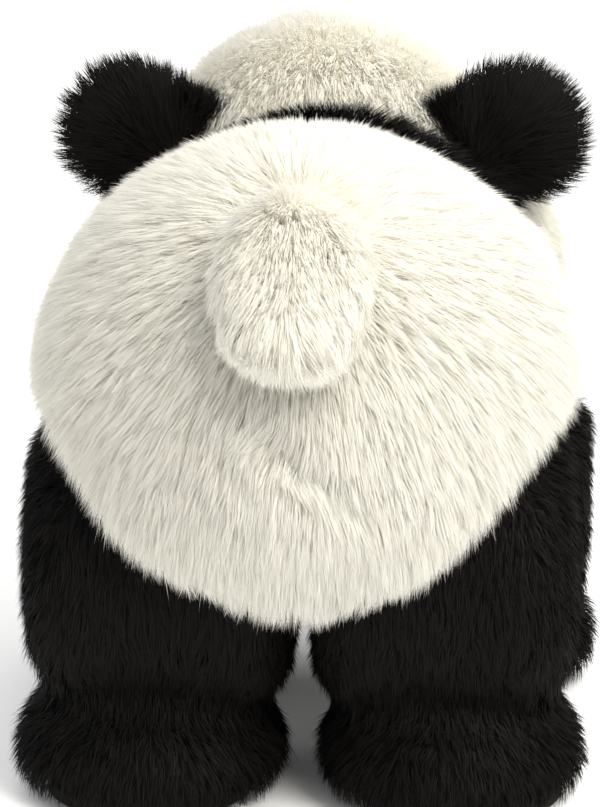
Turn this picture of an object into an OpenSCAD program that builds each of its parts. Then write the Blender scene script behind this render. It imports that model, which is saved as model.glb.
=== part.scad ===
// Plush panda standing on four legs. Millimetres, +Z up, the face points to -Y.
// The origin is on the floor, midway between nose and tail and midway between left and right.
// Every outside surface is where the tips of the pile end; a cover is backing cloth and pile together.

/* [Whole toy] */
// Width of the rump over the pile
body_w = 140; // [110:1:170]
// Length of the rump from front to back
body_l = 152; // [130:1:170]
// Height of the rump from belly to back
body_h = 140; // [118:1:168]
// Height of the belly above the floor
belly_lift = 36; // [28:1:46]
// How far behind the middle of the toy the rump is centred
body_back = 52; // [44:1:60]
// Thickness of a cover, backing cloth and pile together
pile = 8; // [4:0.5:12]
// Thickness of cloth that lines the sockets
lining = 3; // [1.5:0.5:5]
// Running clearance between pieces that move
gap = 0.6; // [0.4:0.1:1.5]

/* [Shoulders and neck] */
// Width of the shoulders
shoulder_w = 124; // [100:1:150]
// Length of the shoulders from front to back
shoulder_l = 84; // [70:1:98]
// How far behind the middle of the toy the shoulders are centred
shoulder_back = 14; // [8:1:20]
// Where the dark shoulder band meets the pale back
band_edge = 20; // [4:1:28]
// Diameter of the stuffed ball inside the neck
neck_d = 74; // [60:1:80]
// How far in front of the middle of the toy the neck ball sits
neck_fore = 24; // [18:1:30]

/* [Head] */
// Width over the cheeks
head_w = 136; // [116:1:160]
// Diameter of a cheek
cheek_d = 72; // [60:1:80]
// Diameter of the crown
crown_d = 100; // [84:1:110]
// How far in front of the middle of the toy the crown is centred
head_fore = 72.5; // [66:0.5:84]
// Height of the middle of the crown above the floor
crown_z = 132; // [122:1:146]
// Width of the cloth strip over the top of the head
gusset_w = 38; // [24:1:52]
// Diameter of the muzzle
muzzle_d = 52; // [42:1:60]

/* [Face] */
// Diameter of an eye
eye_d = 13; // [9:0.5:17]
// Distance between the middles of the eyes
eye_gap = 50; // [40:1:60]
// Width of the nose
nose_w = 20; // [14:1:26]
// Diameter of the stem under an eye or the nose
stem_d = 5; // [3:0.5:6]

/* [Ears] */
// Diameter of an ear
ear_d = 42; // [34:1:50]
// Thickness of an ear over the pile
ear_t = 18; // [12:1:22]
// Lean of the ears away from upright
ear_tilt = 68; // [45:1:75]
// Angle the ears fold forward or back
ear_swing = 20; // [0:1:25]

/* [Tail] */
// Width of the tail
tail_w = 38; // [28:1:46]
// Length of the tail
tail_l = 63; // [48:1:74]
// Thickness of the tail
tail_t = 28; // [18:1:34]
// Angle of the tail below level
tail_drop = 42; // [25:1:60]

/* [Legs] */
// Diameter of the round top of a hind leg
thigh_d = 84; // [70:1:86]
// Width of a hind leg
thigh_w = 74; // [60:1:76]
// Length of a hind foot
foot_l = 78; // [66:1:88]
// Height of a foot
foot_h = 40; // [32:1:46]
// Diameter of the round top of a front leg
arm_d = 62; // [50:1:64]
// Width of the round top of a front leg
arm_w = 49; // [38:1:52]
// Length of a front paw
paw_l = 74; // [62:1:80]
// Width of a front paw
paw_w = 75; // [60:1:76]
// Distance of the front paws from the middle plane
paw_in = 4.5; // [2:0.5:12]
// Thickness of a sole
sole_t = 4; // [2:0.5:6]
// Diameter of the bead bag inside a foot
bag_d = 38; // [26:1:44]

/* [Hidden] */
$fn = 72;
far = 400;
eps = 0.02;
body_z = belly_lift + body_h / 2;
shoulder_z = body_z + 4;
neck_z = body_z + 14;
neck_at = [0, -neck_fore, neck_z];
cheek_at = [head_w / 2 - cheek_d / 2, -head_fore + 2, crown_z - 21];
muzzle_at = [0, -head_fore - crown_d / 2 + 10, crown_z - 32];
patch_t = 5;
eye_z = crown_z - 3;
eye_rise = asin(-2 * 3 / crown_d) - 3;
patch_d = eye_d * 2.1;
eye_x = eye_gap / 2;
// the eyes sink a little into the pile on the front of the crown
eye_y = -head_fore - sqrt(pow(crown_d / 2, 2) - pow(eye_x, 2)) + 1.5;
nose_z = muzzle_at[2] + muzzle_d * 0.2;
nose_y = muzzle_at[1] - muzzle_d / 2 * sqrt(1 - pow(0.4, 2)) + 1.5;
eye_turn = asin(2 * eye_x / crown_d) + 4;
washer_d = stem_d * 3.2;
washer_t = 2;
stem_l = 15;
ear_reach = ear_d / 2 - 9;
ear_back = 24;
ear_clear = 3;
// the ears hinge just above the crown, where it has curved away behind its middle
ear_hub = sqrt(pow(crown_d / 2, 2) - pow(ear_back, 2)) + 0.6;
ear_at = [ear_hub * sin(ear_tilt), -head_fore + ear_back, crown_z + ear_hub * cos(ear_tilt)];
ear_root_l = ear_d * 0.84;
ear_root_d = ear_t * 0.94;
tail_at = [0, body_back + body_l / 2 * 0.5 - 1, body_z + body_h / 2 * 0.866 - 3];
tail_root_l = tail_w * 0.8;
tail_root_d = tail_t * 0.75;
thigh_in = 1;
thigh_at = [body_back + 8, body_z - 42];
foot_y = thigh_at[0] + 3;
foot_in = 3;
foot_w = thigh_w + thigh_in + 3.5 - foot_in;
arm_in = 28;
arm_at = [shoulder_back - 28, body_z - 44];
paw_y = arm_at[0] - 21;
thigh_round = 20;
inner_round = 8;
arm_round = 15;
label_w = 22;
label_l = 16;
label_t = 0.8;

dark = [0.07, 0.07, 0.07];
cream = [0.93, 0.92, 0.85];
inside = [0.97, 0.97, 0.95];
plastic = [0.02, 0.02, 0.02];
washer_c = [0.85, 0.85, 0.82];
bead = [0.72, 0.66, 0.52];

// ---------- shared shapes ----------
module egg(at, size) { translate(at) scale(size / 2) sphere(1); }

module slab(lo, hi) { translate(lo) cube(hi - lo); }

module other_side() { mirror([1, 0, 0]) children(); }

// a round disc on the X axis from x0 to x1, its two rims rounded
module drum(d, x0, x1, round_in, round_out) {
  r = d / 2;
  rotate([0, 90, 0]) rotate_extrude() intersection() {
    union() {
      translate([0, x0]) square([r - round_in, x1 - x0]);
      translate([0, x0]) square([r - round_out, x1 - x0]);
      translate([0, x0 + round_in]) square([r, x1 - x0 - round_in - round_out]);
      translate([r - round_in, x0 + round_in]) circle(round_in);
      translate([r - round_out, x1 - round_out]) circle(round_out);
    }
    translate([0, x0 - 1]) square([r + 1, x1 - x0 + 2]);
  }
}

// ---------- body ----------
// the body without sockets; o is the distance inside the tips of the pile
module body_blank(o = 0) {
  egg([0, body_back, body_z], [body_w, body_l, body_h] - [2, 2, 2] * o);
  egg([0, shoulder_back, shoulder_z], [shoulder_w, shoulder_l, shoulder_w] - [2, 2, 2] * o);
}

// room for the neck ball, the four leg tops and the tail root; o more than the running clearance
module body_sockets(o = 0) {
  c = gap + o;
  translate(neck_at) sphere(neck_d / 2 + c);
  translate([0, thigh_at[0], thigh_at[1]])
    drum(thigh_d + 2 * c, -thigh_in - thigh_w - c, thigh_in + thigh_w + c, thigh_round + c, thigh_round + c);
  for (s = [0, 1]) mirror([s, 0, 0]) translate([0, arm_at[0], arm_at[1]])
    drum(arm_d + 2 * c, arm_in - c, arm_in + arm_w + c, inner_round + c, arm_round + c);
  tail_place() egg([0, 0, 0], [tail_root_l, tail_root_d, tail_root_d] + [2, 2, 2] * c);
}

module torso_stuffing_shape() {
  difference() {
    body_blank(pile);
    body_sockets(lining);
  }
}

module torso_cloth() {
  difference() {
    body_blank();
    body_sockets();
    torso_stuffing_shape();
  }
}

band_low = body_z - body_h * 0.22;

module back_area(x0, x1) {
  slab([x0, band_edge, band_low], [x1, far, far]);
  slab([x0, body_back, 0], [x1, far, far]);
}

module back_panel_left() {
  color(cream) intersection() {
    torso_cloth();
    back_area(0, far);
  }
}

module back_panel_right() {
  color(cream) intersection() {
    torso_cloth();
    back_area(-far, 0);
  }
}

module shoulder_band() {
  color(dark) intersection() {
    torso_cloth();
    slab([-far, -far, band_low], [far, band_edge, far]);
  }
}

module chest_panel() {
  color(dark) intersection() {
    torso_cloth();
    slab([-far, -far, 0], [far, body_back, band_low]);
  }
}

module torso_fill() { color(inside) torso_stuffing_shape(); }

// a plain blank tag sewn into the seam under the chest
module care_label() {
  color(inside) difference() {
    translate([0, band_edge - 14, shoulder_z - shoulder_w / 2 - 6])
      slab([-label_w / 2, 0, -label_l / 2], [label_w / 2, label_t, label_l / 2]);
    body_blank();
  }
}

// ---------- neck ----------
module neck_cover() {
  color(dark) translate(neck_at) difference() {
    sphere(neck_d / 2);
    sphere(neck_d / 2 - pile / 2);
  }
}

module neck_fill() { color(inside) translate(neck_at) sphere(neck_d / 2 - pile / 2); }

// ---------- head ----------
module head_blank(o = 0) {
  translate([0, -head_fore, crown_z]) sphere(crown_d / 2 - o);
  for (s = [0, 1]) mirror([s, 0, 0]) translate(cheek_at) sphere(cheek_d / 2 - o);
}

module head_sockets(o = 0) {
  c = gap + o;
  translate(neck_at) sphere(neck_d / 2 + c);
  for (s = [0, 1]) mirror([s, 0, 0]) ear_place()
    ear_root(c);
}

module muzzle_blank(o = 0) { translate(muzzle_at) sphere(muzzle_d / 2 - o); }

// stem and washer that hold a hard eye or the nose; y points into the head
module stem(at) { translate(at) rotate([-90, 0, 0]) cylinder(d = stem_d, h = stem_l); }

module washer(at) {
  translate(at + [0, stem_l - washer_t - 2, 0]) rotate([-90, 0, 0]) cylinder(d = washer_d, h = washer_t);
}

eye_at = [eye_x, eye_y, eye_z];
nose_at = [0, nose_y, nose_z];

// a round cutter through the middle of the crown, a little below and outside the eye
module patch_area() {
  translate([0, -head_fore, crown_z]) rotate([0, 0, eye_turn]) rotate([90 - eye_rise, 0, 0])
    cylinder(d = patch_d, h = crown_d);
}

module face_holes() {
  for (s = [0, 1]) mirror([s, 0, 0]) {
    translate(eye_at) sphere(eye_d / 2);
    stem(eye_at);
  }
}

module patches() {
  for (s = [0, 1]) mirror([s, 0, 0]) difference() {
    patch_area();
    translate([0, -head_fore, crown_z]) sphere(crown_d / 2 - patch_t);
  }
}

module head_stuffing_shape() {
  difference() {
    head_blank(pile);
    head_sockets(lining);
    muzzle_blank();
    for (s = [0, 1]) mirror([s, 0, 0]) { stem(eye_at); washer(eye_at); }
  }
}

module head_cloth() {
  difference() {
    head_blank();
    head_sockets();
    head_stuffing_shape();
    muzzle_blank();
    face_holes();
    for (s = [0, 1]) mirror([s, 0, 0]) washer(eye_at);
    patches();
  }
}

// the strip over the head stops at the muzzle in front and at the neck behind
chin_top = muzzle_at[2] + 4;

module head_side_left() {
  color(cream) intersection() {
    head_cloth();
    slab([gusset_w / 2, -far, 0], [far, far, far]);
  }
}

module head_side_right() {
  color(cream) intersection() {
    head_cloth();
    slab([-far, -far, 0], [-gusset_w / 2, far, far]);
  }
}

module head_gusset() {
  color(cream) intersection() {
    head_cloth();
    slab([-gusset_w / 2, -far, chin_top], [gusset_w / 2, far, far]);
  }
}

module chin_panel() {
  color(cream) intersection() {
    head_cloth();
    slab([-gusset_w / 2, -far, 0], [gusset_w / 2, far, chin_top]);
  }
}

module head_fill() { color(inside) head_stuffing_shape(); }

module muzzle_cover() {
  color(cream) difference() {
    muzzle_blank();
    muzzle_blank(pile / 2);
    egg(nose_at, [nose_w, nose_w * 0.6, nose_w * 0.72]);
    stem(nose_at);
    mouth_line(0.8);
  }
}

module muzzle_fill() {
  color(inside) difference() {
    muzzle_blank(pile / 2);
    egg(nose_at, [nose_w, nose_w * 0.6, nose_w * 0.72]);
    stem(nose_at);
    washer(nose_at);
    for (s = [0, 1]) mirror([s, 0, 0]) { stem(eye_at); washer(eye_at); }
  }
}

module mouth_line(deep) {
  intersection() {
    difference() {
      muzzle_blank(-0.7);
      muzzle_blank(deep);
    }
    translate([0, muzzle_at[1], muzzle_at[2]]) rotate([90, 0, 0]) linear_extrude(far) {
      translate([-0.9, -muzzle_d * 0.12]) square([1.8, muzzle_d * 0.2]);
      for (s = [-1, 1]) translate([s * 7, -muzzle_d * 0.09]) intersection() {
        difference() { circle(7.9); circle(6.1); }
        translate([-9, -9]) square([18, 7.5]);
      }
    }
  }
}

module mouth_stitch() { color(dark) mouth_line(0.8); }

module eye_patch_left() {
  color(dark) difference() {
    difference() {
      intersection() {
        translate([0, -head_fore, crown_z]) sphere(crown_d / 2);
        patch_area();
      }
      translate([0, -head_fore, crown_z]) sphere(crown_d / 2 - patch_t);
      translate(eye_at) sphere(eye_d / 2);
    }
    stem(eye_at);
    muzzle_blank();
  }
}

module eye_patch_right() { other_side() eye_patch_left(); }

module eye_left() {
  color(plastic) { translate(eye_at) sphere(eye_d / 2); stem(eye_at); }
}

module eye_right() { other_side() eye_left(); }

module eye_washer_left() {
  color(washer_c) difference() { washer(eye_at); stem(eye_at); }
}

module eye_washer_right() { other_side() eye_washer_left(); }

module nose() {
  color(plastic) { egg(nose_at, [nose_w, nose_w * 0.6, nose_w * 0.72]); stem(nose_at); }
}

module nose_washer() {
  color(washer_c) difference() { washer(nose_at); stem(nose_at); }
}

// ---------- ears ----------
module ear_place() { translate(ear_at) rotate([0, ear_tilt, 0]) children(); }

// the roll of cloth an ear turns on
module ear_root(o = 0) {
  rotate([0, 90, 0]) cylinder(d = ear_root_d + 2 * o, h = ear_root_l + 2 * o, center = true);
}

module ear_blank() {
  difference() {
    ear_place() egg([0, 0, ear_reach], [ear_d, ear_t, ear_d]);
    translate([0, -head_fore, crown_z]) sphere(crown_d / 2 + ear_clear);
    translate(cheek_at) sphere(cheek_d / 2 + ear_clear);
  }
  ear_place() ear_root();
}

module ear_front_left() {
  color(dark) intersection() {
    ear_blank();
    slab([0, -far, 0], [far, ear_at[1], far]);
  }
}

module ear_back_left() {
  color(dark) intersection() {
    ear_blank();
    slab([0, ear_at[1], 0], [far, far, far]);
  }
}

module ear_front_right() { other_side() ear_front_left(); }
module ear_back_right() { other_side() ear_back_left(); }

// ---------- tail ----------
module tail_place() { translate(tail_at) rotate([-90 - tail_drop, 0, 0]) children(); }

// the tail rests on the rump and is rounded off where it hinges
module tail_blank(o = 0) {
  difference() {
    tail_place() intersection() {
      egg([0, -tail_t * 0.17, tail_l / 2 - 2], [tail_w, tail_t, tail_l + 4] - [2, 2, 2] * o);
      slab([-far, -far, o], [far, far, far]);
    }
    egg([0, body_back, body_z], [body_w, body_l, body_h] + [2, 2, 2] * (gap + o));
  }
}

module tail_cover() {
  color(cream) difference() {
    union() {
      tail_blank();
      tail_place() egg([0, 0, 0], [tail_root_l, tail_root_d, tail_root_d]);
    }
    tail_stuffing();
  }
}

module tail_stuffing() {
  tail_place() egg([0, -tail_t * 0.4, tail_l * 0.52], [tail_w * 0.7, tail_t * 0.3, tail_l * 0.66]);
}

module tail_fill() { color(inside) tail_stuffing(); }

// ---------- legs ----------
// a foot or paw with its flat underside o above the floor
module foot_blank(x0, w, y, l, o = 0) {
  intersection() {
    egg([x0 + w / 2, y, foot_h * 0.3], [w, l, foot_h * 1.4] - [2, 2, 2] * o);
    slab([0, -far, max(o, 0)], [far, far, far]);
  }
}

module hind_blank(o = 0) {
  translate([0, thigh_at[0], thigh_at[1]])
    drum(thigh_d - 2 * o, thigh_in + o, thigh_in + thigh_w - o, inner_round, thigh_round - o);
  foot_blank(foot_in, foot_w, foot_y, foot_l, o);
}

module front_blank(o = 0) {
  translate([0, arm_at[0], arm_at[1]])
    drum(arm_d - 2 * o, arm_in + o, arm_in + arm_w - o, inner_round - o / 2, arm_round - o);
  egg([arm_in + arm_w / 2 - 2, arm_at[0] - 3, arm_at[1] * 0.62], [arm_w + 4, arm_d * 0.84, arm_at[1] * 1.15] - [2, 2, 2] * o);
  foot_blank(paw_in, paw_w, paw_y, paw_l, o);
}

// the sole is an oval a little smaller than the foot, so the pile hangs round it
module sole(x0, w, y, l, grow = 0) {
  translate([x0 + w / 2, y, 0]) linear_extrude(sole_t)
    polygon([for (i = [0:71]) [(w * 0.36 + grow) * cos(i * 5), (l * 0.36 + grow) * sin(i * 5)]]);
}

module bag(x0, w, y) { egg([x0 + w / 2, y, foot_h * 0.3 + 8], [bag_d, bag_d, bag_d * 0.55]); }

module hind_leg_left() {
  color(dark) difference() {
    hind_blank();
    hind_blank(pile);
    sole(foot_in, foot_w, foot_y, foot_l);
  }
}

module hind_fill_left() {
  color(inside) difference() {
    hind_blank(pile);
    bag(foot_in, foot_w, foot_y);
  }
}

module hind_sole_left() { color(dark) sole(foot_in, foot_w, foot_y, foot_l); }
module hind_bag_left() { color(bead) bag(foot_in, foot_w, foot_y); }

module front_leg_left() {
  color(dark) difference() {
    front_blank();
    front_blank(pile);
    sole(paw_in, paw_w, paw_y, paw_l);
  }
}

module front_fill_left() {
  color(inside) difference() {
    front_blank(pile);
    bag(paw_in, paw_w, paw_y);
  }
}

module front_sole_left() { color(dark) sole(paw_in, paw_w, paw_y, paw_l); }
module front_bag_left() { color(bead) bag(paw_in, paw_w, paw_y); }

module hind_leg_right() { other_side() hind_leg_left(); }
module hind_fill_right() { other_side() hind_fill_left(); }
module hind_sole_right() { other_side() hind_sole_left(); }
module hind_bag_right() { other_side() hind_bag_left(); }
module front_leg_right() { other_side() front_leg_left(); }
module front_fill_right() { other_side() front_fill_left(); }
module front_sole_right() { other_side() front_sole_left(); }
module front_bag_right() { other_side() front_bag_left(); }

back_panel_left();
back_panel_right();
shoulder_band();
chest_panel();
torso_fill();
care_label();
neck_cover();
neck_fill();
head_side_left();
head_side_right();
head_gusset();
chin_panel();
head_fill();
muzzle_cover();
muzzle_fill();
eye_patch_left();
eye_patch_right();
eye_left();
eye_right();
eye_washer_left();
eye_washer_right();
nose();
nose_washer();
mouth_stitch();
ear_front_left();
ear_back_left();
ear_front_right();
ear_back_right();
tail_cover();
tail_fill();
hind_leg_left();
hind_fill_left();
hind_sole_left();
hind_bag_left();
hind_leg_right();
hind_fill_right();
hind_sole_right();
hind_bag_right();
front_leg_left();
front_fill_left();
front_sole_left();
front_bag_left();
front_leg_right();
front_fill_right();
front_sole_right();
front_bag_right();
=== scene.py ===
"""A plush giant panda on all fours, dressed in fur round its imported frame."""

import bpy
import math
import numpy as np
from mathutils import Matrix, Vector
from mathutils.bvhtree import BVHTree


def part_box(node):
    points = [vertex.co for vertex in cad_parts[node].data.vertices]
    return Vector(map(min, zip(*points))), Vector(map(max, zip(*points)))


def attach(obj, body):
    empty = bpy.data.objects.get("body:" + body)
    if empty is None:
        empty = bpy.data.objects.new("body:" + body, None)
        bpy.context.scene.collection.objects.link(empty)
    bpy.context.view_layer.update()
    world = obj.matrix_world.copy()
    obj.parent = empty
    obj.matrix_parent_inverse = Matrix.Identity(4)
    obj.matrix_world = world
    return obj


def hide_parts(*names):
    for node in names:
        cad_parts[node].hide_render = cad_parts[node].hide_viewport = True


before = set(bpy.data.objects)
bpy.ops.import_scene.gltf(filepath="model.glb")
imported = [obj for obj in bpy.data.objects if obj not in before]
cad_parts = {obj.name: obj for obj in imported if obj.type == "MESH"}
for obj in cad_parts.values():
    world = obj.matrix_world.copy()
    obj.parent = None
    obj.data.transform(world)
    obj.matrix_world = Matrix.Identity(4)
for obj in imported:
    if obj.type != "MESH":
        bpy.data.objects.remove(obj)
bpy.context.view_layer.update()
MM = 0.001
DENSE = 1.0     # share of the fibres that is grown

# the side that the camera stands on gets the densest pelt
LOOK_AZIMUTH, LOOK_ELEVATION = 182.8, 15.0


def outward_to_camera():
    a, e = math.radians(LOOK_AZIMUTH), math.radians(LOOK_ELEVATION)
    return np.array([math.sin(a) * math.cos(e), -math.cos(a) * math.cos(e), math.sin(e)])


def corner(node, which):
    """A node's lowest (0) or highest (1) corner."""
    return np.array(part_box(node)[which])


def core(node):
    """A node's middle and its half size each way."""
    low, high = corner(node, 0), corner(node, 1)
    return (low + high) / 2, (high - low) / 2


def middle(node):
    return core(node)[0]


def unit(v):
    return v / np.maximum(np.linalg.norm(v, axis=-1, keepdims=True), 1e-9)


# ---------------------------------------------------------------- shader maths
OBJECT_COORDINATES = 3      # the place of "Object" among Texture Coordinate's outputs


class Wire:
    """A socket of one material's tree that takes part in Python sums."""

    def __init__(self, tree, socket):
        self.tree, self.socket = tree, socket

    def node(self, kind, settings=None, out=0, **sockets):
        made = self.tree.nodes.new(kind)
        for key, value in (settings or {}).items():
            setattr(made, key, value)
        for key, value in sockets.items():
            name = key.replace("_", " ")
            slot = made.inputs[int(name[2:])] if name.startswith("n ") else made.inputs[name]
            if isinstance(value, Wire):
                self.tree.links.new(value.socket, slot)
            else:
                slot.default_value = value
        return Wire(self.tree, made.outputs[out])

    def beside(self, out):
        """Another output of the same node."""
        return Wire(self.tree, self.socket.node.outputs[out])

    def sum(self, how, first, second):
        return self.node("ShaderNodeMath", {"operation": how}, n_0=first, n_1=second)

    def __add__(self, other):
        return self.sum("ADD", self, other)

    def __mul__(self, other):
        return self.sum("MULTIPLY", self, other)

    def __pow__(self, other):
        return self.sum("POWER", self, other)

    __radd__, __rmul__ = __add__, __mul__

    def mix(self, low, high):
        """The colour low where this is 0, and high where it is 1."""
        made = self.tree.nodes.new("ShaderNodeMix")
        made.data_type = "RGBA"
        self.tree.links.new(self.socket, made.inputs["Factor"])
        for slot, colour in ((6, low), (7, high)):
            if isinstance(colour, Wire):
                self.tree.links.new(colour.socket, made.inputs[slot])
            else:
                made.inputs[slot].default_value = (*colour, 1)
        return Wire(self.tree, made.outputs[2])


def finish_named(name, look, through=0.0, **constants):
    """A material whose changing inputs come from look(wire); through is the light it lets by."""
    made = bpy.data.materials.new(name)
    made.use_nodes = True
    tree = made.node_tree
    body = tree.nodes["Principled BSDF"]
    for key, value in constants.items():
        body.inputs[key.replace("_", " ")].default_value = value
    start = Wire(tree, None)
    varying = look(start)
    for key, wire in varying.items():
        tree.links.new(wire.socket, body.inputs[key])
    if through:
        thin = start.node("ShaderNodeBsdfTranslucent", Color=varying["Base Color"])
        solid = Wire(tree, body.outputs[0])
        both = start.node("ShaderNodeMixShader", n_0=through, n_1=solid, n_2=thin)
        tree.links.new(both.socket, tree.nodes["Material Output"].inputs["Surface"])
    return made


def plush(name, root, tip, pale, rough, through, gloss):
    """Pile fibre: darker at the root by painted shade deep in the pile, paler at the tip, every
    lock a little different.
    """

    def look(w):
        along = w.node("ShaderNodeUVMap", {"uv_map": "OFBake"})
        lock = w.node("ShaderNodeSeparateXYZ", Vector=along)
        rise = lock.beside(1)
        # painted shade: the root colour darkens each fibre towards its root, as if shadowed inside
        # the pile
        shaded = (rise ** 0.7).mix(root, tip)
        return {
            "Base Color": (lock * 0.55 * rise).mix(shaded, pale),
            "Roughness": rough + lock * 0.12,
        }

    return finish_named(name, look, through, Specular_IOR_Level=gloss)


def backing(name, ground, fleck):
    """Dense pile base that shows between the locks."""

    def look(w):
        where = w.node("ShaderNodeTexCoord", out=OBJECT_COORDINATES)
        grain = w.node("ShaderNodeTexNoise", Vector=where, Scale=900.0, Detail=3.0, Roughness=0.6)
        bump = w.node("ShaderNodeBump", Height=grain, Strength=0.35, Distance=0.001)
        return {
            "Base Color": grain.mix(ground, fleck),
            "Normal": bump,
            "Roughness": 0.75 + grain * 0.2,
        }

    return finish_named(name, look, Specular_IOR_Level=0.2)


# the first colour of each fur is painted shade at its fibres' roots
CREAM_FUR = plush(
    "cream plush", (0.90, 0.87, 0.79), (0.95, 0.935, 0.875), (0.97, 0.965, 0.925),
    rough=0.7, through=0.5, gloss=0.12,
)
BLACK_FUR = plush(
    "black plush", (0.0012, 0.0012, 0.0012), (0.003, 0.0026, 0.0024), (0.011, 0.008, 0.0065),
    rough=0.6, through=0.0, gloss=0.12,
)
# the cream pile base's ground colour is darker than the fibres: painted shade between the locks
CREAM_SHADED_BASE = backing("cream pile base", (0.80, 0.75, 0.64), (0.92, 0.89, 0.80))
BLACK_BASE = backing("black pile base", (0.0012, 0.0012, 0.0012), (0.004, 0.0035, 0.003))


def hard_gloss(name, deep, pale, rough):
    """Moulded glossy plastic with faint flow marks and handling wear."""

    def look(w):
        where = w.node("ShaderNodeTexCoord", out=OBJECT_COORDINATES)
        flow = w.node("ShaderNodeTexNoise", Vector=where, Scale=120.0, Detail=2.0)
        marks = w.node("ShaderNodeTexNoise", Vector=where, Scale=1400.0, Detail=1.0)
        bump = w.node("ShaderNodeBump", Height=marks, Strength=0.04, Distance=0.0004)
        return {
            "Base Color": flow.mix(deep, pale),
            "Roughness": rough + marks * 0.08,
            "Normal": bump,
        }

    return finish_named(name, look, Specular_IOR_Level=0.16, Coat_Weight=0.06, Coat_Roughness=0.03)


def napped(name, ground, pale, scale, depth):
    """Suede: a short soft nap with worn pale patches."""

    def look(w):
        where = w.node("ShaderNodeTexCoord", out=OBJECT_COORDINATES)
        nap = w.node("ShaderNodeTexNoise", Vector=where, Scale=scale, Detail=6.0, Roughness=0.7)
        worn = w.node("ShaderNodeTexNoise", Vector=where, Scale=scale / 30, Detail=2.0)
        bump = w.node("ShaderNodeBump", Height=nap, Strength=depth, Distance=0.0008)
        return {
            "Base Color": (nap * 0.6 + worn * 0.4).mix(ground, pale),
            "Roughness": 0.85 + worn * 0.1,
            "Normal": bump,
        }

    return finish_named(name, look, Specular_IOR_Level=0.2)


def woven(name, dark, pale, pitch, rough=0.7):
    """Plain weave of warp and weft threads."""

    def look(w):
        where = w.node("ShaderNodeTexCoord", out=OBJECT_COORDINATES)
        warp = w.node("ShaderNodeTexWave", {"bands_direction": "X"}, Vector=where, Scale=pitch)
        weft = w.node("ShaderNodeTexWave", {"bands_direction": "Z"}, Vector=where, Scale=pitch)
        slub = w.node("ShaderNodeTexNoise", Vector=where, Scale=pitch * 1.5, Detail=2.0)
        cloth = warp * 0.4 + weft * 0.4 + slub * 0.2
        bump = w.node("ShaderNodeBump", Height=cloth, Strength=0.5, Distance=0.0004)
        return {
            "Base Color": cloth.mix(dark, pale),
            "Roughness": rough + slub * 0.1,
            "Normal": bump,
        }

    return finish_named(name, look, Specular_IOR_Level=0.25)


EYE_GLOSS = hard_gloss("eye plastic", (0.004, 0.003, 0.003), (0.012, 0.009, 0.008), 0.06)
NOSE_GLOSS = hard_gloss("nose plastic", (0.006, 0.006, 0.006), (0.014, 0.013, 0.013), 0.22)
WASHER_WHITE = hard_gloss("washer plastic", (0.72, 0.72, 0.69), (0.80, 0.80, 0.77), 0.45)
SOLE_SUEDE = napped("sole suede", (0.006, 0.006, 0.006), (0.022, 0.020, 0.019), 2500.0, 0.5)
BAG_COTTON = woven("bead bag cotton", (0.55, 0.50, 0.40), (0.74, 0.69, 0.58), 220.0)
LABEL_TAPE = woven("label tape", (0.78, 0.78, 0.76), (0.93, 0.93, 0.91), 420.0, 0.55)
BLACK_THREAD = woven("black thread", (0.004, 0.004, 0.004), (0.020, 0.019, 0.018), 500.0)


# ---------------------------------------------------------------- stuffed skins
def clear():
    if bpy.context.object and bpy.context.object.mode != "OBJECT":
        bpy.ops.object.mode_set(mode="OBJECT")
    bpy.ops.object.select_all(action="DESELECT")


def pick(piece):
    clear()
    piece.select_set(True)
    bpy.context.view_layer.objects.active = piece


def places(mesh):
    out = np.empty(len(mesh.vertices) * 3, np.float32)
    mesh.vertices.foreach_get("co", out)
    return out.reshape(-1, 3).astype(float)


def facings(mesh):
    out = np.empty(len(mesh.vertices) * 3, np.float32)
    mesh.vertex_normals.foreach_get("vector", out)
    return out.reshape(-1, 3).astype(float)


def put(mesh, points):
    mesh.vertices.foreach_set("co", points.astype(np.float32).ravel())
    mesh.update()


def lumps(p, size, seed):
    """Soft hand-stuffed unevenness from -1 to 1, the same on every run."""
    rng = np.random.default_rng(seed)
    out = np.zeros(len(p))
    for _ in range(7):
        way = unit(rng.normal(size=3)) / (size * rng.uniform(0.7, 1.6))
        out += np.sin(p @ way * 2 * math.pi + rng.uniform(0, 6.28))
    return out / 4.5


def renet(skin, cell):
    net = skin.modifiers.new("net", "REMESH")
    net.mode, net.voxel_size, net.use_smooth_shade = "VOXEL", cell, True
    bpy.ops.object.modifier_apply(modifier="net")


def stuffed(name, nodes, grow, cell, base, lump, floor=None, shape=None, close=0.0):
    """One closed skin over the solids of these nodes, grown by grow and softly lumpy.

    close fills creases up to about that deep, lump is in mm, and floor is the lowest z.
    """
    copies = []
    for node in nodes:
        copy = bpy.data.objects.new(name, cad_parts[node].data.copy())
        bpy.context.scene.collection.objects.link(copy)
        copies.append(copy)
    pick(copies[0])
    for copy in copies:
        copy.select_set(True)
    if len(copies) > 1:
        bpy.ops.object.join()
    skin = bpy.context.object
    skin.name = name
    skin.data.materials.clear()
    bpy.ops.object.mode_set(mode="EDIT")
    bpy.ops.mesh.select_all(action="SELECT")
    bpy.ops.mesh.remove_doubles(threshold=1e-5)
    bpy.ops.object.mode_set(mode="OBJECT")
    renet(skin, cell)
    if close:
        put(skin.data, places(skin.data) + facings(skin.data) * close)
        renet(skin, cell)
        put(skin.data, places(skin.data) - facings(skin.data) * close)
    ease = skin.modifiers.new("ease", "SMOOTH")
    ease.factor, ease.iterations = 0.5, 3
    bpy.ops.object.modifier_apply(modifier="ease")
    p, n = places(skin.data), facings(skin.data)
    p = p + n * (grow + lump * MM * lumps(p, 0.06, len(name)))[:, None]
    if shape is not None:
        p = shape(p, n)
    if floor is not None:
        p[:, 2] = np.maximum(p[:, 2], floor)
    put(skin.data, p)
    skin.data.materials.append(base)
    for face in skin.data.polygons:
        face.use_smooth = True
    return skin


def groove(p, n, off, wide, deep):
    """Pushes the skin in along the line where off is 0."""
    return p - n * (deep * np.exp(-((off / wide) ** 2)))[:, None]


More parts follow.
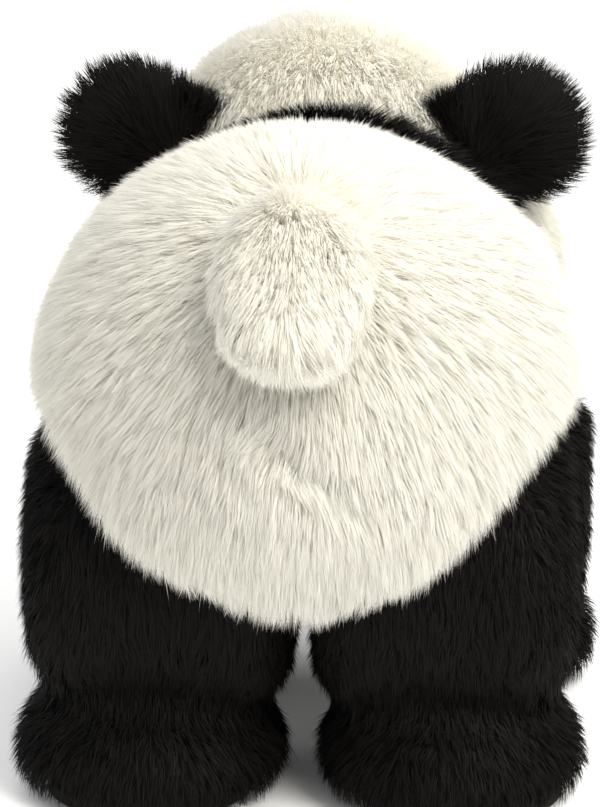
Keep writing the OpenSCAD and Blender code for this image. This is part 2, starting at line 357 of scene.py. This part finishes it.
# ---------------------------------------------------------------- fur
def net_of(skin):
    mesh = skin.data
    mesh.calc_loop_triangles()
    tris = np.empty(len(mesh.loop_triangles) * 3, np.int32)
    mesh.loop_triangles.foreach_get("vertices", tris)
    return places(mesh), facings(mesh), tris.reshape(-1, 3)


def tree_of(skin):
    p, _, tris = net_of(skin)
    return BVHTree.FromPolygons(p.tolist(), tris.tolist())


def inside(tree, box, points, by):
    """Which points lie deeper than by inside a closed skin."""
    low, high = box
    near = np.all((points > low - 0.001) & (points < high + 0.001), axis=1)
    out = np.zeros(len(points), bool)
    for i in np.nonzero(near)[0]:
        spot, facing, _, far = tree.find_nearest(Vector(points[i]))
        if spot is not None and (Vector(points[i]) - spot).dot(facing) < 0 and far > by:
            out[i] = True
    return out


def cells(p, size, seed):
    """A lock number for each root: neighbours within about size share one."""
    rng = np.random.default_rng(seed)
    warp = np.stack([lumps(p, size * 2.6, seed + k) for k in range(3)], 1) * size * 0.45
    grid = np.floor((p + warp) / size + rng.uniform(0, 9, 3)).astype(np.int64)
    key = grid[:, 0] * 73856093 ^ grid[:, 1] * 19349663 ^ grid[:, 2] * 83492791
    return np.unique(key, return_inverse=True)[1].ravel()


def of_lock(lock, values):
    count = np.bincount(lock).astype(float)
    return np.stack([np.bincount(lock, values[:, k]) / count for k in range(3)], 1)[lock]


# pile in the unseen half is thinner sown and wider, so that it covers with fewer fibres
UNSEEN_SHARE, UNSEEN_WIDTH = 0.42, 1.5
ROOT_DEPTH = 0.6 * MM       # how far each fibre starts below its skin
EDGE_SLACK = 4 * MM         # faces this far past a panel's edge are still tried for roots


def scatter(rng, skin, where, density, under):
    """Random roots on the part of a skin that where picks: places, normals, and which are seen."""
    p, n, tris = net_of(skin)
    a, b, c = p[tris[:, 0]], p[tris[:, 1]], p[tris[:, 2]]
    area = np.linalg.norm(np.cross(b - a, c - a), axis=1) / 2
    facing = unit(np.cross(b - a, c - a))
    area = np.where(where((a + b + c) / 3, facing, EDGE_SLACK), area, 0)
    seen = facing @ outward_to_camera() > -0.25
    area *= np.where(seen, 1.0, UNSEEN_SHARE)
    count = int(area.sum() * 1e6 * density * (1 + under) * DENSE)
    which = rng.choice(len(tris), count, p=area / area.sum())
    u, v = rng.random(count), rng.random(count)
    flip = u + v > 1
    u[flip], v[flip] = 1 - u[flip], 1 - v[flip]
    t = tris[which]

    def mixed(k):
        return k[t[:, 0]] * (1 - u - v)[:, None] + k[t[:, 1]] * u[:, None] + k[t[:, 2]] * v[:, None]

    root, up = mixed(p), unit(mixed(n))
    good = where(root, up, 0.0)
    return root[good], up[good], seen[which][good]


def blades(name, base, mid, tip, half, soft, shade, bent):
    """A mesh of flat tapered fibres: the bent ones have a knee, the others are one triangle."""
    b, m, e, h = base[bent], mid[bent], tip[bent], half[bent]
    knees = np.stack([b - h, b + h, m - h * 0.85, m + h * 0.85, e], 1).reshape(-1, 3)
    b, e, h = base[~bent], tip[~bent], half[~bent]
    spikes = np.stack([b - h, b + h, b + (e - b) * 0.93], 1).reshape(-1, 3)
    bends, plains = int(bent.sum()), int((~bent).sum())
    corners = np.concatenate([
        (np.arange(bends)[:, None] * 5 + np.array([0, 1, 2, 1, 3, 2, 2, 3, 4])).ravel(),
        bends * 5 + np.arange(plains * 3),
    ])
    rise = np.concatenate([
        np.tile([0.0, 0.0, 0.5, 0.5, 1.0], bends),
        np.tile([0.0, 0.0, 0.95], plains),
    ])

    def per_corner(k):
        return np.concatenate([np.repeat(k[bent], 5, axis=0), np.repeat(k[~bent], 3, axis=0)])

    points = np.concatenate([knees, spikes])
    mesh = bpy.data.meshes.new(name)
    mesh.vertices.add(len(points))
    mesh.vertices.foreach_set("co", points.astype(np.float32).ravel())
    mesh.loops.add(len(corners))
    mesh.loops.foreach_set("vertex_index", corners.astype(np.int32))
    mesh.polygons.add(len(corners) // 3)
    mesh.polygons.foreach_set("loop_start", np.arange(0, len(corners), 3, dtype=np.int32))
    mesh.polygons.foreach_set("use_smooth", np.ones(len(corners) // 3, bool))
    mesh.update(calc_edges=True)
    across = np.stack([per_corner(shade), rise], 1)
    uv = mesh.uv_layers.new(name="OFBake")
    uv.data.foreach_set("uv", across[corners].astype(np.float32).ravel())
    mesh.normals_split_custom_set_from_vertices(per_corner(soft).astype(np.float32))
    return mesh


def pelt(name, skin, body, nodes, where, comb, length, density, fibre,
         lean=42.0, width=0.26, lock=2.6, pull=0.3, clear_of=(), seed=1, avoid=None,
         under=2.4, trim=None, calm=1.0):
    """Combed pile over part of a skin, in fibres that lean along comb and gather in locks.

    length, width and lock are in mm, density in long fibres for each square mm with under
    short ones to each, lean in degrees from upright, and calm under 1 evens the pile out.
    """
    rng = np.random.default_rng(seed)
    root, up, seen = scatter(rng, skin, where, density, under)
    count = len(root)

    group, tuft = cells(root, lock * MM, seed + 11), cells(root, lock * 3.2 * MM, seed + 23)
    groups, tufts = group.max() + 1, tuft.max() + 1
    way = comb(root, up)
    sway = rng.normal(size=(groups, 3))[group] * 0.08
    sway = sway + rng.normal(size=(tufts, 3))[tuft] * 0.13
    way = way + (sway + rng.normal(size=(count, 3)) * 0.14) * calm
    way = unit(way - up * np.sum(way * up, 1)[:, None])
    long = length * MM * (0.78 + 0.30 * rng.random(count))
    long = long * (1 + 0.10 * lumps(root, 0.03, seed + 5))
    long *= (0.93 + 0.14 * rng.random(groups))[group]
    if trim is not None:
        long *= trim(root)
    long[rng.random(count) < 0.006] *= 1.35
    tilt = rng.normal(size=count) * 6 + (rng.normal(size=groups) * 4)[group]
    tilt = np.radians(lean + tilt * calm)

    def step(k):
        return up * np.cos(k)[:, None] + way * np.sin(k)[:, None]

    first, second = step(tilt - 0.28), step(np.minimum(tilt + 0.32, 1.5))
    base = root - up * ROOT_DEPTH
    mid = base + first * (long * 0.5)[:, None]
    tip = mid + second * (long * 0.55)[:, None]
    draw = (pull * (0.55 + 0.6 * rng.random(groups)))[group][:, None]
    tip = tip + (of_lock(group, tip) - tip) * draw
    mid = mid + (of_lock(group, mid) - mid) * draw * 0.35
    tip = tip + (of_lock(tuft, tip) - tip) * 0.08

    keep = np.ones(count, bool)
    for (tree, box), by in clear_of:
        keep &= ~inside(tree, box, mid, by)
        keep[keep] &= ~inside(tree, box, tip[keep], by)
    if avoid is not None:
        keep &= ~avoid(root, mid, tip)
    up, base, mid, tip, seen, group = (k[keep] for k in (up, base, mid, tip, seen, group))
    count = len(base)
    for k in (base, mid, tip):
        k[:, 2] = np.maximum(k[:, 2], 0.6 * MM)

    bent = rng.random(count) < 1 / (1 + under)
    line = unit(tip - base)
    side = unit(np.cross(line, up))
    roll = rng.uniform(-1.25, 1.25, count)[:, None]
    side = side * np.cos(roll) + unit(np.cross(side, line)) * np.sin(roll)
    thick = width * MM * (0.75 + 0.5 * rng.random(count)) * np.where(seen, 1.0, UNSEEN_WIDTH)
    half = side * (thick / 2 / math.sqrt(DENSE))[:, None]
    shade = 0.55 * rng.random(group.max() + 1)[group] + 0.45 * rng.random(count)
    outer = unit(np.cross(half, line))
    outer *= np.sign(np.sum(outer * up, 1))[:, None]
    soft = unit(up * 0.9 + outer * 0.25 + line * 0.1)
    mesh = blades(name, base, mid, tip, half, soft, shade, bent)
    piece = bpy.data.objects.new(name, mesh)
    bpy.context.scene.collection.objects.link(piece)
    piece.data.materials.append(fibre)
    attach(piece, body)
    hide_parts(*nodes)


def away_from(spot, drop=0.0):
    """A comb that runs out from one spot, and down by drop."""
    def comb(p, up):
        return unit(p - np.array(spot)) + np.array([0, 0, -drop])
    return comb


def straight(*way):
    """A comb that runs one way all over."""
    def comb(p, up):
        return np.array(way) + up * 0
    return comb


def anywhere(p, n, slack):
    return np.ones(len(p), bool)


# ---------------------------------------------------------------- torso
BAND_Y = corner("shoulder_band", 1)[1]
LOW_Z = corner("shoulder_band", 0)[2]
BACK_Y = corner("chest_panel", 1)[1]
TAIL_ROOT = np.array([0, corner("tail_cover", 0)[1] + 0.008, corner("tail_cover", 1)[2] - 0.010])


def band_edge(p):
    """The dark band's rear edge, a little further back on the right."""
    return BAND_Y + 0.004 - 0.09 * p[:, 0]


# the small dart below the tail, from its upper end to its lower end, as (x, z)
DART = np.array([[0.0055, TAIL_ROOT[2] - 0.050], [-0.0135, TAIL_ROOT[2] - 0.068]])


def dart_off(p):
    """Distance across the rump from the dart's line."""
    flat = p[:, [0, 2]]
    run = DART[1] - DART[0]
    t = np.clip((flat - DART[0]) @ run / (run @ run), 0, 1)
    off = np.linalg.norm(flat - DART[0] - t[:, None] * run, axis=1)
    return np.where(p[:, 1] > TAIL_ROOT[1], off, 1.0)


def torso_shape(p, n):
    back = (p[:, 1] > BAND_Y) & (p[:, 2] > 0.05)
    p = groove(p, n, np.where(back, p[:, 0], 1.0), 0.003, 0.0007)
    return groove(p, n, dart_off(p), 0.0035, 0.0026)


torso = stuffed(
    "torso_skin", ["torso_fill"], 3.4 * MM, 2.6 * MM, CREAM_SHADED_BASE, 1.2, shape=torso_shape
)
head = stuffed("head_skin", ["head_fill"], 3.4 * MM, 2.4 * MM, CREAM_SHADED_BASE, 0.8, close=14 * MM)
neck = stuffed("neck_skin", ["neck_fill"], 1.0 * MM, 2.6 * MM, BLACK_BASE, 0.4)


def dye(skin, base, where):
    """Gives the ground colour base to the faces of a skin that where picks."""
    skin.data.materials.append(base)
    spots = np.array([face.center for face in skin.data.polygons])
    for face, hit in zip(skin.data.polygons, where(spots)):
        if hit:
            face.material_index = 1


def dark_torso(p):
    return np.where(p[:, 2] > LOW_Z, p[:, 1] < band_edge(p), p[:, 1] < BACK_Y)


dye(torso, BLACK_BASE, dark_torso)
muzzle = stuffed("muzzle_skin", ["muzzle_fill"], 4.6 * MM, 1.8 * MM, CREAM_SHADED_BASE, 0.4)
tail = stuffed("tail_skin", ["tail_fill"], 3.0 * MM, 1.8 * MM, CREAM_SHADED_BASE, 0.6)

# the hind legs' skins are drawn in a little towards the middle, so that the pile stays in width
NARROW = {
    ("hind", "left"): 0.985, ("hind", "right"): 0.95,
    ("front", "left"): 1.0, ("front", "right"): 1.0,
}
legs = {}
for pair in ("hind", "front"):
    for side in ("left", "right"):
        sole_top = corner(f"{pair}_sole_{side}", 1)[2] + 0.4 * MM

        def leg_shape(p, n, narrow=NARROW[pair, side]):
            return p * [narrow, 1, 1]

        legs[pair, side] = stuffed(
            f"{pair}_skin_{side}", [f"{pair}_fill_{side}"], 2.6 * MM, 2.4 * MM, BLACK_BASE, 0.8,
            floor=sole_top, shape=leg_shape, close=7 * MM,
        )
ears = {}
for side in ("left", "right"):
    ears[side] = stuffed(
        f"ear_skin_{side}", [f"ear_front_{side}", f"ear_back_{side}"],
        -4.6 * MM, 1.4 * MM, BLACK_BASE, 0.3,
    )

for skin, body, fill in (
    (torso, "torso", 0.85), (head, "head", 0.9), (neck, "neck", 0.8), (muzzle, "head", 0.9),
    (tail, "tail", 0.8), (ears["left"], "ear_left", 0.5), (ears["right"], "ear_right", 0.5),
    *[(legs[k], f"{k[0]}_leg_{k[1]}", 0.8) for k in legs],
):
    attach(skin, body)


def guard(skin):
    """A skin's search tree and box, for keeping a neighbour's pile out of it."""
    p = places(skin.data)
    return tree_of(skin), (p.min(0), p.max(0))


GUARD = {"torso": guard(torso), "head": guard(head), "neck": guard(neck), "muzzle": guard(muzzle),
         "tail": guard(tail), **{k: guard(v) for k, v in legs.items()}}
LEGS = [(GUARD[k], 0.0005) for k in legs]


def back_side(sign):
    def where(p, n, slack):
        front = np.where(p[:, 2] > LOW_Z, band_edge(p), BACK_Y)
        return (p[:, 0] * sign > -slack) & (p[:, 1] > front - slack)
    return where


def rump_comb(p, n):
    """Out from the tail's root and down, parted along the dart."""
    off = p - TAIL_ROOT
    near = np.exp(-np.linalg.norm(off, axis=1) / 0.05)[:, None]
    lift = np.where(dart_off(p) < 0.006, 1.0, 0.0)[:, None]
    part = np.stack([np.sign(p[:, 2] - DART.mean(0)[1]), 0 * n[:, 0], np.sign(p[:, 0] + 0.004)], 1)
    return unit(off) * (0.7 + near) + np.array([0, 0, -0.55]) + part * lift * 0.5


def rump_trim(p):
    """Shorter pile over the crest, so the dark band shows beyond it."""
    rise = np.clip((p[:, 2] - (TAIL_ROOT[2] - 0.02)) / 0.02, 0, 1)
    return 1 - 0.38 * rise * np.clip((BAND_Y + 0.055 - p[:, 1]) / 0.03, 0, 1)


for side, sign, seed, calm in (("left", 1, 31, 0.9), ("right", -1, 37, 0.6)):
    pelt(f"back_fur_{side}", torso, "torso", [f"back_panel_{side}"], back_side(sign), rump_comb,
         11.5, 2.1, CREAM_FUR, clear_of=LEGS + [(GUARD["tail"], 2 * MM)],
         seed=seed, trim=rump_trim, calm=calm, pull=0.26 * calm)


def band_where(p, n, slack):
    return (p[:, 1] < band_edge(p) + slack) & (p[:, 2] > LOW_Z - slack)


def band_trim(p):
    """Shorter over the left of the crest, where the pale pile hides it."""
    crest = np.clip((p[:, 2] - TAIL_ROOT[2] + 0.02) / 0.015, 0, 1)
    return 1 - 0.38 * crest * np.clip((p[:, 0] + 0.02) / 0.05, 0, 1)


def chest_where(p, n, slack):
    return (p[:, 1] < BACK_Y + slack) & (p[:, 2] <= LOW_Z + slack)


pelt("shoulder_fur", torso, "torso", ["shoulder_band"], band_where, straight(0, 0.2, -0.8),
     10.5, 1.4, BLACK_FUR, lean=28, clear_of=LEGS + [(GUARD["neck"], 1 * MM)],
     seed=41, trim=band_trim)
pelt("chest_fur", torso, "torso", ["chest_panel"], chest_where, straight(0, 0.7, -0.5),
     10, 1.0, BLACK_FUR, clear_of=LEGS, seed=43, under=1.5)
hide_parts("torso_fill")

# ---------------------------------------------------------------- legs
for (pair, side), skin in legs.items():
    body = f"{pair}_leg_{side}"
    twins = [k for k in legs if k[0] == pair and k != (pair, side)]
    others = [(GUARD["torso"], 1 * MM)] + [(GUARD[k], 0.5 * MM) for k in twins]
    sole_z = corner(f"{pair}_sole_{side}", 1)[2]

    def leg_where(p, n, slack, sole_z=sole_z):
        return (n[:, 2] > -0.75) | (p[:, 2] > sole_z + 0.012 - slack)

    def leg_comb(p, n):
        return np.array([0.0, 0.12, -1.0]) + n * [0.5, 0.5, 0]

    pelt(f"{pair}_fur_{side}", skin, body, [f"{pair}_leg_{side}"], leg_where, leg_comb,
         8.5, 1.3 if pair == "hind" else 0.9, BLACK_FUR, lean=46, width=0.32,
         clear_of=others, seed=50 + len(body), under=1.5)
    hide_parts(f"{pair}_fill_{side}")

# ---------------------------------------------------------------- tail
TAIL_TIP = np.array([0, corner("tail_cover", 1)[1], corner("tail_cover", 0)[2]])


def tail_comb(p, n):
    """Down the tail, and outward from a parting along its middle."""
    run = TAIL_TIP - TAIL_ROOT
    down = np.clip((p - TAIL_ROOT) @ run / (run @ run) * 1.6 - 0.3, 0, 1)
    fan = np.tanh((p[:, 0] - 0.002) / 0.006) * np.exp(-np.abs(p[:, 0]) / 0.03) * down
    return unit(run) + np.outer(fan, [0.8, 0, 0])


pelt("tail_fur", tail, "tail", ["tail_cover"], anywhere, tail_comb,
     10, 5.0, CREAM_FUR, lean=50, calm=0.6, pull=0.2, width=0.24,
     clear_of=[(GUARD["torso"], 2 * MM)], seed=71)
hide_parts("tail_fill")

# ---------------------------------------------------------------- head
GUSSET_X = corner("head_gusset", 1)[0]
CHIN_Z = corner("head_gusset", 0)[2]
NOSE = middle("nose")


def eye_patch(side):
    """A test for the points on one eye patch, seen from the front as an oval."""
    centre, half = core(f"eye_patch_{side}")
    back = centre[1] + half[1]

    def where(p, n, slack):
        x = (p[:, 0] - centre[0]) / (half[0] + slack)
        z = (p[:, 2] - centre[2]) / (half[2] + slack)
        return (x ** 2 + z ** 2 < 1) & (p[:, 1] < back + 4 * MM + slack)

    return where


PATCH = {side: eye_patch(side) for side in ("left", "right")}


def patch_mask(p):
    return PATCH["left"](p, None, 0.0) | PATCH["right"](p, None, 0.0)


dye(head, BLACK_BASE, patch_mask)


def head_part(test):
    """Where test holds, short of the eye patches."""
    def where(p, n, slack):
        return test(p, slack) & (~patch_mask(p) | (slack > 0))
    return where


def head_comb(p, up):
    """Back over the crown from the nose, then down the nape."""
    nape = np.clip(up[:, 1], 0, 1)[:, None]
    return unit(p - NOSE) + np.array([0, 0, -0.1]) + nape * np.array([0, 0, -0.9])


def right_cheek(p, slack):
    return p[:, 0] < -GUSSET_X + slack


def left_cheek(p, slack):
    return p[:, 0] > GUSSET_X - slack


def crown(p, slack):
    return (np.abs(p[:, 0]) < GUSSET_X + slack) & (p[:, 2] > CHIN_Z - slack)


def chin(p, slack):
    return (np.abs(p[:, 0]) < GUSSET_X + slack) & (p[:, 2] <= CHIN_Z + slack)


head_clear = [(GUARD["muzzle"], 0.6 * MM), (GUARD["neck"], 1 * MM)]
for piece, node, test, length, density, seed in (
    ("head_fur_left", "head_side_left", left_cheek, 10, 2.3, 81),
    ("head_fur_right", "head_side_right", right_cheek, 10, 2.3, 83),
    ("gusset_fur", "head_gusset", crown, 9.5, 2.6, 87),
    ("chin_fur", "chin_panel", chin, 9, 1.6, 89),
):
    pelt(piece, head, "head", [node], head_part(test), head_comb, length, density,
         CREAM_FUR, lean=48, calm=0.6, pull=0.18, clear_of=head_clear, seed=seed)
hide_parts("head_fill")


def eye_avoid(root, mid, tip):
    """Fibres that would touch an eye's ball."""
    out = np.zeros(len(root), bool)
    for side in ("left", "right"):
        eye, half = core(f"eye_{side}")
        eye[1] += half[0] - half[1]
        for k in (root, mid, tip):
            out |= np.linalg.norm(k - eye, axis=1) < half[0] + 0.4 * MM
    return out


for side in ("left", "right"):
    pelt(f"patch_fur_{side}", head, "head", [f"eye_patch_{side}"], PATCH[side],
         away_from(middle(f"eye_{side}"), 0.2), 6.5, 5.5, BLACK_FUR,
         avoid=eye_avoid, clear_of=head_clear[:1], seed=91)

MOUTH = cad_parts["mouth_stitch"].data
stitch_tree = BVHTree.FromPolygons([list(v.co) for v in MOUTH.vertices],
                                   [list(k.vertices) for k in MOUTH.polygons])


def mouth_avoid(root, mid, tip):
    """Fibres that would cover the sewn mouth."""
    low, high = corner("mouth_stitch", 0), corner("mouth_stitch", 1)
    near = np.all((root > low - 4 * MM) & (root < high + 4 * MM), axis=1)
    out = np.zeros(len(root), bool)
    for i in np.nonzero(near)[0]:
        out[i] = any(stitch_tree.find_nearest(Vector(k[i]))[3] < 1.1 * MM for k in (root, mid, tip))
    return out


pelt("muzzle_fur", muzzle, "head", ["muzzle_cover"], anywhere, away_from(NOSE, 0.15),
     4.5, 4.0, CREAM_FUR, lean=52, calm=0.7, avoid=mouth_avoid,
     clear_of=[(GUARD["head"], 0.6 * MM)], seed=93, lock=2.0)
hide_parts("muzzle_fill")
pelt("neck_fur", neck, "neck", ["neck_cover"], anywhere, straight(0, 1.0, -0.6),
     9, 1.2, BLACK_FUR,
     clear_of=[(GUARD["head"], 0.6 * MM), (GUARD["torso"], 0.6 * MM)], seed=95)
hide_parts("neck_fill")

# ---------------------------------------------------------------- ears
for side, sign in (("left", 1), ("right", -1)):
    front, back = f"ear_front_{side}", f"ear_back_{side}"
    split_y = corner(back, 0)[1]
    inner = middle(back) - np.array([sign * 0.010, 0, 0.010])

    def front_where(p, n, slack, split_y=split_y):
        return p[:, 1] < split_y + slack

    def back_where(p, n, slack, split_y=split_y):
        return p[:, 1] >= split_y - slack

    for piece, node, where, length, density, seed in (
        (f"ear_front_fur_{side}", front, front_where, 9, 1.8, 101),
        (f"ear_back_fur_{side}", back, back_where, 11, 2.6, 103),
    ):
        pelt(piece, ears[side], f"ear_{side}", [node], where, away_from(inner), length, density,
             BLACK_FUR, lean=44, clear_of=[(GUARD["head"], 0.6 * MM)], seed=seed)


# ---------------------------------------------------------------- soles, bags and label
STITCHES = 52               # in each sole's row
ROW_INSET = 2.2 * MM        # from a sole's rim to its row


def choose(piece, test):
    """Leaves selected, in edit mode, only the faces whose centre and normal pass test."""
    bpy.ops.object.mode_set(mode="OBJECT")
    bpy.ops.object.mode_set(mode="EDIT")
    bpy.ops.mesh.select_mode(type="FACE")
    bpy.ops.mesh.select_all(action="DESELECT")
    bpy.ops.object.mode_set(mode="OBJECT")
    for face in piece.data.polygons:
        face.select = bool(test(face.center, face.normal))
    bpy.ops.object.mode_set(mode="EDIT")


def settle(piece, finish, body, node):
    """Back to object mode, place into the mesh, smooth, dressed and riding."""
    bpy.ops.object.mode_set(mode="OBJECT")
    bpy.ops.object.transform_apply(location=True, rotation=True, scale=True)
    bpy.ops.object.shade_smooth_by_angle(angle=math.radians(40))
    piece.data.materials.clear()
    piece.data.materials.append(finish)
    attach(piece, body)
    if node:
        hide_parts(node)
    return piece


def sole(pair, side):
    """An oval suede sole with a rolled rim, a pressed field and a row of stitches."""
    node, body = f"{pair}_sole_{side}", f"{pair}_leg_{side}"
    centre, half = core(node)
    clear()
    bpy.ops.mesh.primitive_cylinder_add(vertices=96, radius=1, depth=2, location=centre, scale=half)
    pad = bpy.context.object
    pad.name = f"{pair}_suede_{side}"
    choose(pad, lambda c, n: n[2] < -0.9)
    bpy.ops.mesh.inset(thickness=2.6 * MM)
    bpy.ops.transform.translate(value=(0, 0, 0.7 * MM))
    bpy.ops.mesh.inset(thickness=1.2 * MM)
    bpy.ops.transform.translate(value=(0, 0, -0.5 * MM))
    bpy.ops.object.mode_set(mode="OBJECT")
    bpy.ops.object.transform_apply(location=True, rotation=True, scale=True)
    rim = pad.modifiers.new("rim", "BEVEL")
    rim.width, rim.segments = 0.9 * MM, 3
    rim.limit_method, rim.angle_limit = "ANGLE", math.radians(50)
    bpy.ops.object.modifier_apply(modifier="rim")
    settle(pad, SOLE_SUEDE, body, node)
    stitch_row(pair, side, centre, half)


def stitch_row(pair, side, centre, half):
    """One bead-shaped stitch copied along an oval just inside a sole's rim."""
    clear()
    bpy.ops.mesh.primitive_uv_sphere_add(segments=8, ring_count=5, radius=1, location=(0, 0, 0))
    seed = bpy.context.object
    bpy.ops.object.mode_set(mode="EDIT")
    bpy.ops.transform.resize(value=(1.4 * MM, 0.45 * MM, 0.35 * MM))
    bpy.ops.object.mode_set(mode="OBJECT")
    one = places(seed.data)
    faces = [list(face.vertices) for face in seed.data.polygons]
    height = centre[2] - half[2] + 0.7 * MM
    points, shells = [], []
    for k in range(STITCHES):
        t = 2 * math.pi * k / STITCHES
        out = (half[:2] - ROW_INSET) * [math.cos(t), math.sin(t)]
        way = math.atan2(math.cos(t) * half[1], -math.sin(t) * half[0])
        turn = np.array([[math.cos(way), -math.sin(way)], [math.sin(way), math.cos(way)]])
        shells += [[v + len(points) * len(one) for v in face] for face in faces]
        points.append(np.column_stack([one[:, :2] @ turn.T + centre[:2] + out, one[:, 2] + height]))
    row = bpy.data.meshes.new("row")
    row.from_pydata(np.concatenate(points).tolist(), [], shells)
    seed.data, seed.name = row, f"{pair}_stitches_{side}"
    pick(seed)
    settle(seed, BLACK_THREAD, f"{pair}_leg_{side}", None)


def bead_bag(pair, side):
    """A little cotton pillow of plastic beads, with a flat sewn edge."""
    node, body = f"{pair}_bag_{side}", f"{pair}_leg_{side}"
    centre, half = core(node)
    clear()
    bpy.ops.mesh.primitive_cube_add(size=2, location=centre, scale=half)
    bag = bpy.context.object
    bag.name = f"{pair}_beads_{side}"
    bpy.ops.object.mode_set(mode="EDIT")
    bpy.ops.mesh.subdivide(number_cuts=11)
    bpy.ops.object.mode_set(mode="OBJECT")
    p = places(bag.data) / half
    across = np.clip((1 - p[:, 0] ** 2) * (1 - p[:, 1] ** 2), 0, 1) ** 0.38
    pinch = 1 - 0.06 * (p[:, [1, 0]] ** 2 - 1) ** 2
    p[:, 2] *= 0.08 + 0.90 * across + 0.02 * np.sin(p[:, 0] * 17) * np.sin(p[:, 1] * 15)
    p[:, :2] *= pinch
    put(bag.data, p * half)
    ease = bag.modifiers.new("ease", "SUBSURF")
    ease.levels = ease.render_levels = 1
    bpy.ops.object.modifier_apply(modifier="ease")
    settle(bag, BAG_COTTON, body, node)


def label():
    """A blank woven label that curls a little at its free end."""
    centre, half = core("care_label")
    clear()
    bpy.ops.mesh.primitive_cube_add(size=2, location=centre, scale=half)
    tape = bpy.context.object
    tape.name = "care_tape"
    bpy.ops.object.mode_set(mode="EDIT")
    bpy.ops.mesh.subdivide(number_cuts=15)
    bpy.ops.object.mode_set(mode="OBJECT")
    p = places(tape.data) / half
    free = (1 - p[:, 2]) / 2
    p[:, 1] = p[:, 1] * 0.45 + free ** 2 * 3.0 + 0.5 * np.sin(p[:, 0] * 2.4) * free
    edge = np.clip((np.abs(p[:, 0]) - 0.9) / 0.1, 0, 1)
    p[:, 1] *= 1 + 0.15 * edge
    put(tape.data, p * half)
    settle(tape, LABEL_TAPE, "torso", "care_label")


for pair, side in legs:
    sole(pair, side)
    bead_bag(pair, side)
label()

# ---------------------------------------------------------------- hard parts
for node, finish in {
    "eye_left": EYE_GLOSS, "eye_right": EYE_GLOSS, "nose": NOSE_GLOSS,
    "eye_washer_left": WASHER_WHITE, "eye_washer_right": WASHER_WHITE, "nose_washer": WASHER_WHITE,
    "mouth_stitch": BLACK_THREAD,
}.items():
    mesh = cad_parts[node].data
    mesh.materials.clear()
    mesh.materials.append(finish)


# ---------------------------------------------------------------- studio
AIM = (0.0042, 0, 0.088)    # what the camera looks at, and how far off it stands
CAMERA_AWAY, SENSOR_MM, LENS_MM = 1.300, 36.0, 286.8
LAMPS_AIM = (0, 0.02, 0.1)
LAMPS = (                   # name, place, width, watts, tint
    ("key_window", (-0.9, 1.1, 1.5), 1.1, 45, (1.0, 0.975, 0.915)),
    ("top_bank", (0.2, 0.2, 1.9), 1.6, 8, (1.0, 1.0, 1.0)),
)


def studio():
    """A pale paper floor, even white air, one warm window and a faint bank overhead."""
    clear()
    bpy.ops.mesh.primitive_plane_add(size=8, location=(0, 0, 0))
    floor = bpy.context.object
    floor.name = "studio_floor"

    def look(w):
        where = w.node("ShaderNodeTexCoord", out=OBJECT_COORDINATES)
        paper = w.node("ShaderNodeTexNoise", Vector=where, Scale=3.0)
        return {"Base Color": paper.mix((0.93, 0.93, 0.93), (0.95, 0.95, 0.95))}

    floor.data.materials.append(finish_named("studio paper", look, Roughness=0.9))
    world = bpy.data.worlds.new("studio air")
    world.use_nodes = True
    world.node_tree.nodes["Background"].inputs["Color"].default_value = (1.0, 1.0, 1.0, 1)
    world.node_tree.nodes["Background"].inputs["Strength"].default_value = 1.0
    bpy.context.scene.world = world
    for name, place, size, power, tint in LAMPS:
        lamp = bpy.data.lights.new(name, "AREA")
        lamp.shape, lamp.size, lamp.energy, lamp.color = "DISK", size, power, tint
        holder = bpy.data.objects.new(name, lamp)
        holder.location = place
        aim = Vector(LAMPS_AIM) - Vector(place)
        holder.rotation_euler = aim.to_track_quat("-Z", "Y").to_euler()
        bpy.context.scene.collection.objects.link(holder)
    camera = bpy.data.cameras.new("camera")
    camera.sensor_fit, camera.sensor_width, camera.lens = "HORIZONTAL", SENSOR_MM, LENS_MM
    camera.clip_start, camera.clip_end = 0.05, 20
    stand = bpy.data.objects.new("camera", camera)
    back = Vector(outward_to_camera())
    stand.location = Vector(AIM) + back * CAMERA_AWAY
    stand.rotation_euler = (-back).to_track_quat("-Z", "Y").to_euler()
    bpy.context.scene.collection.objects.link(stand)
    bpy.context.scene.camera = stand
    bpy.context.scene.view_settings.view_transform = "Standard"


studio()
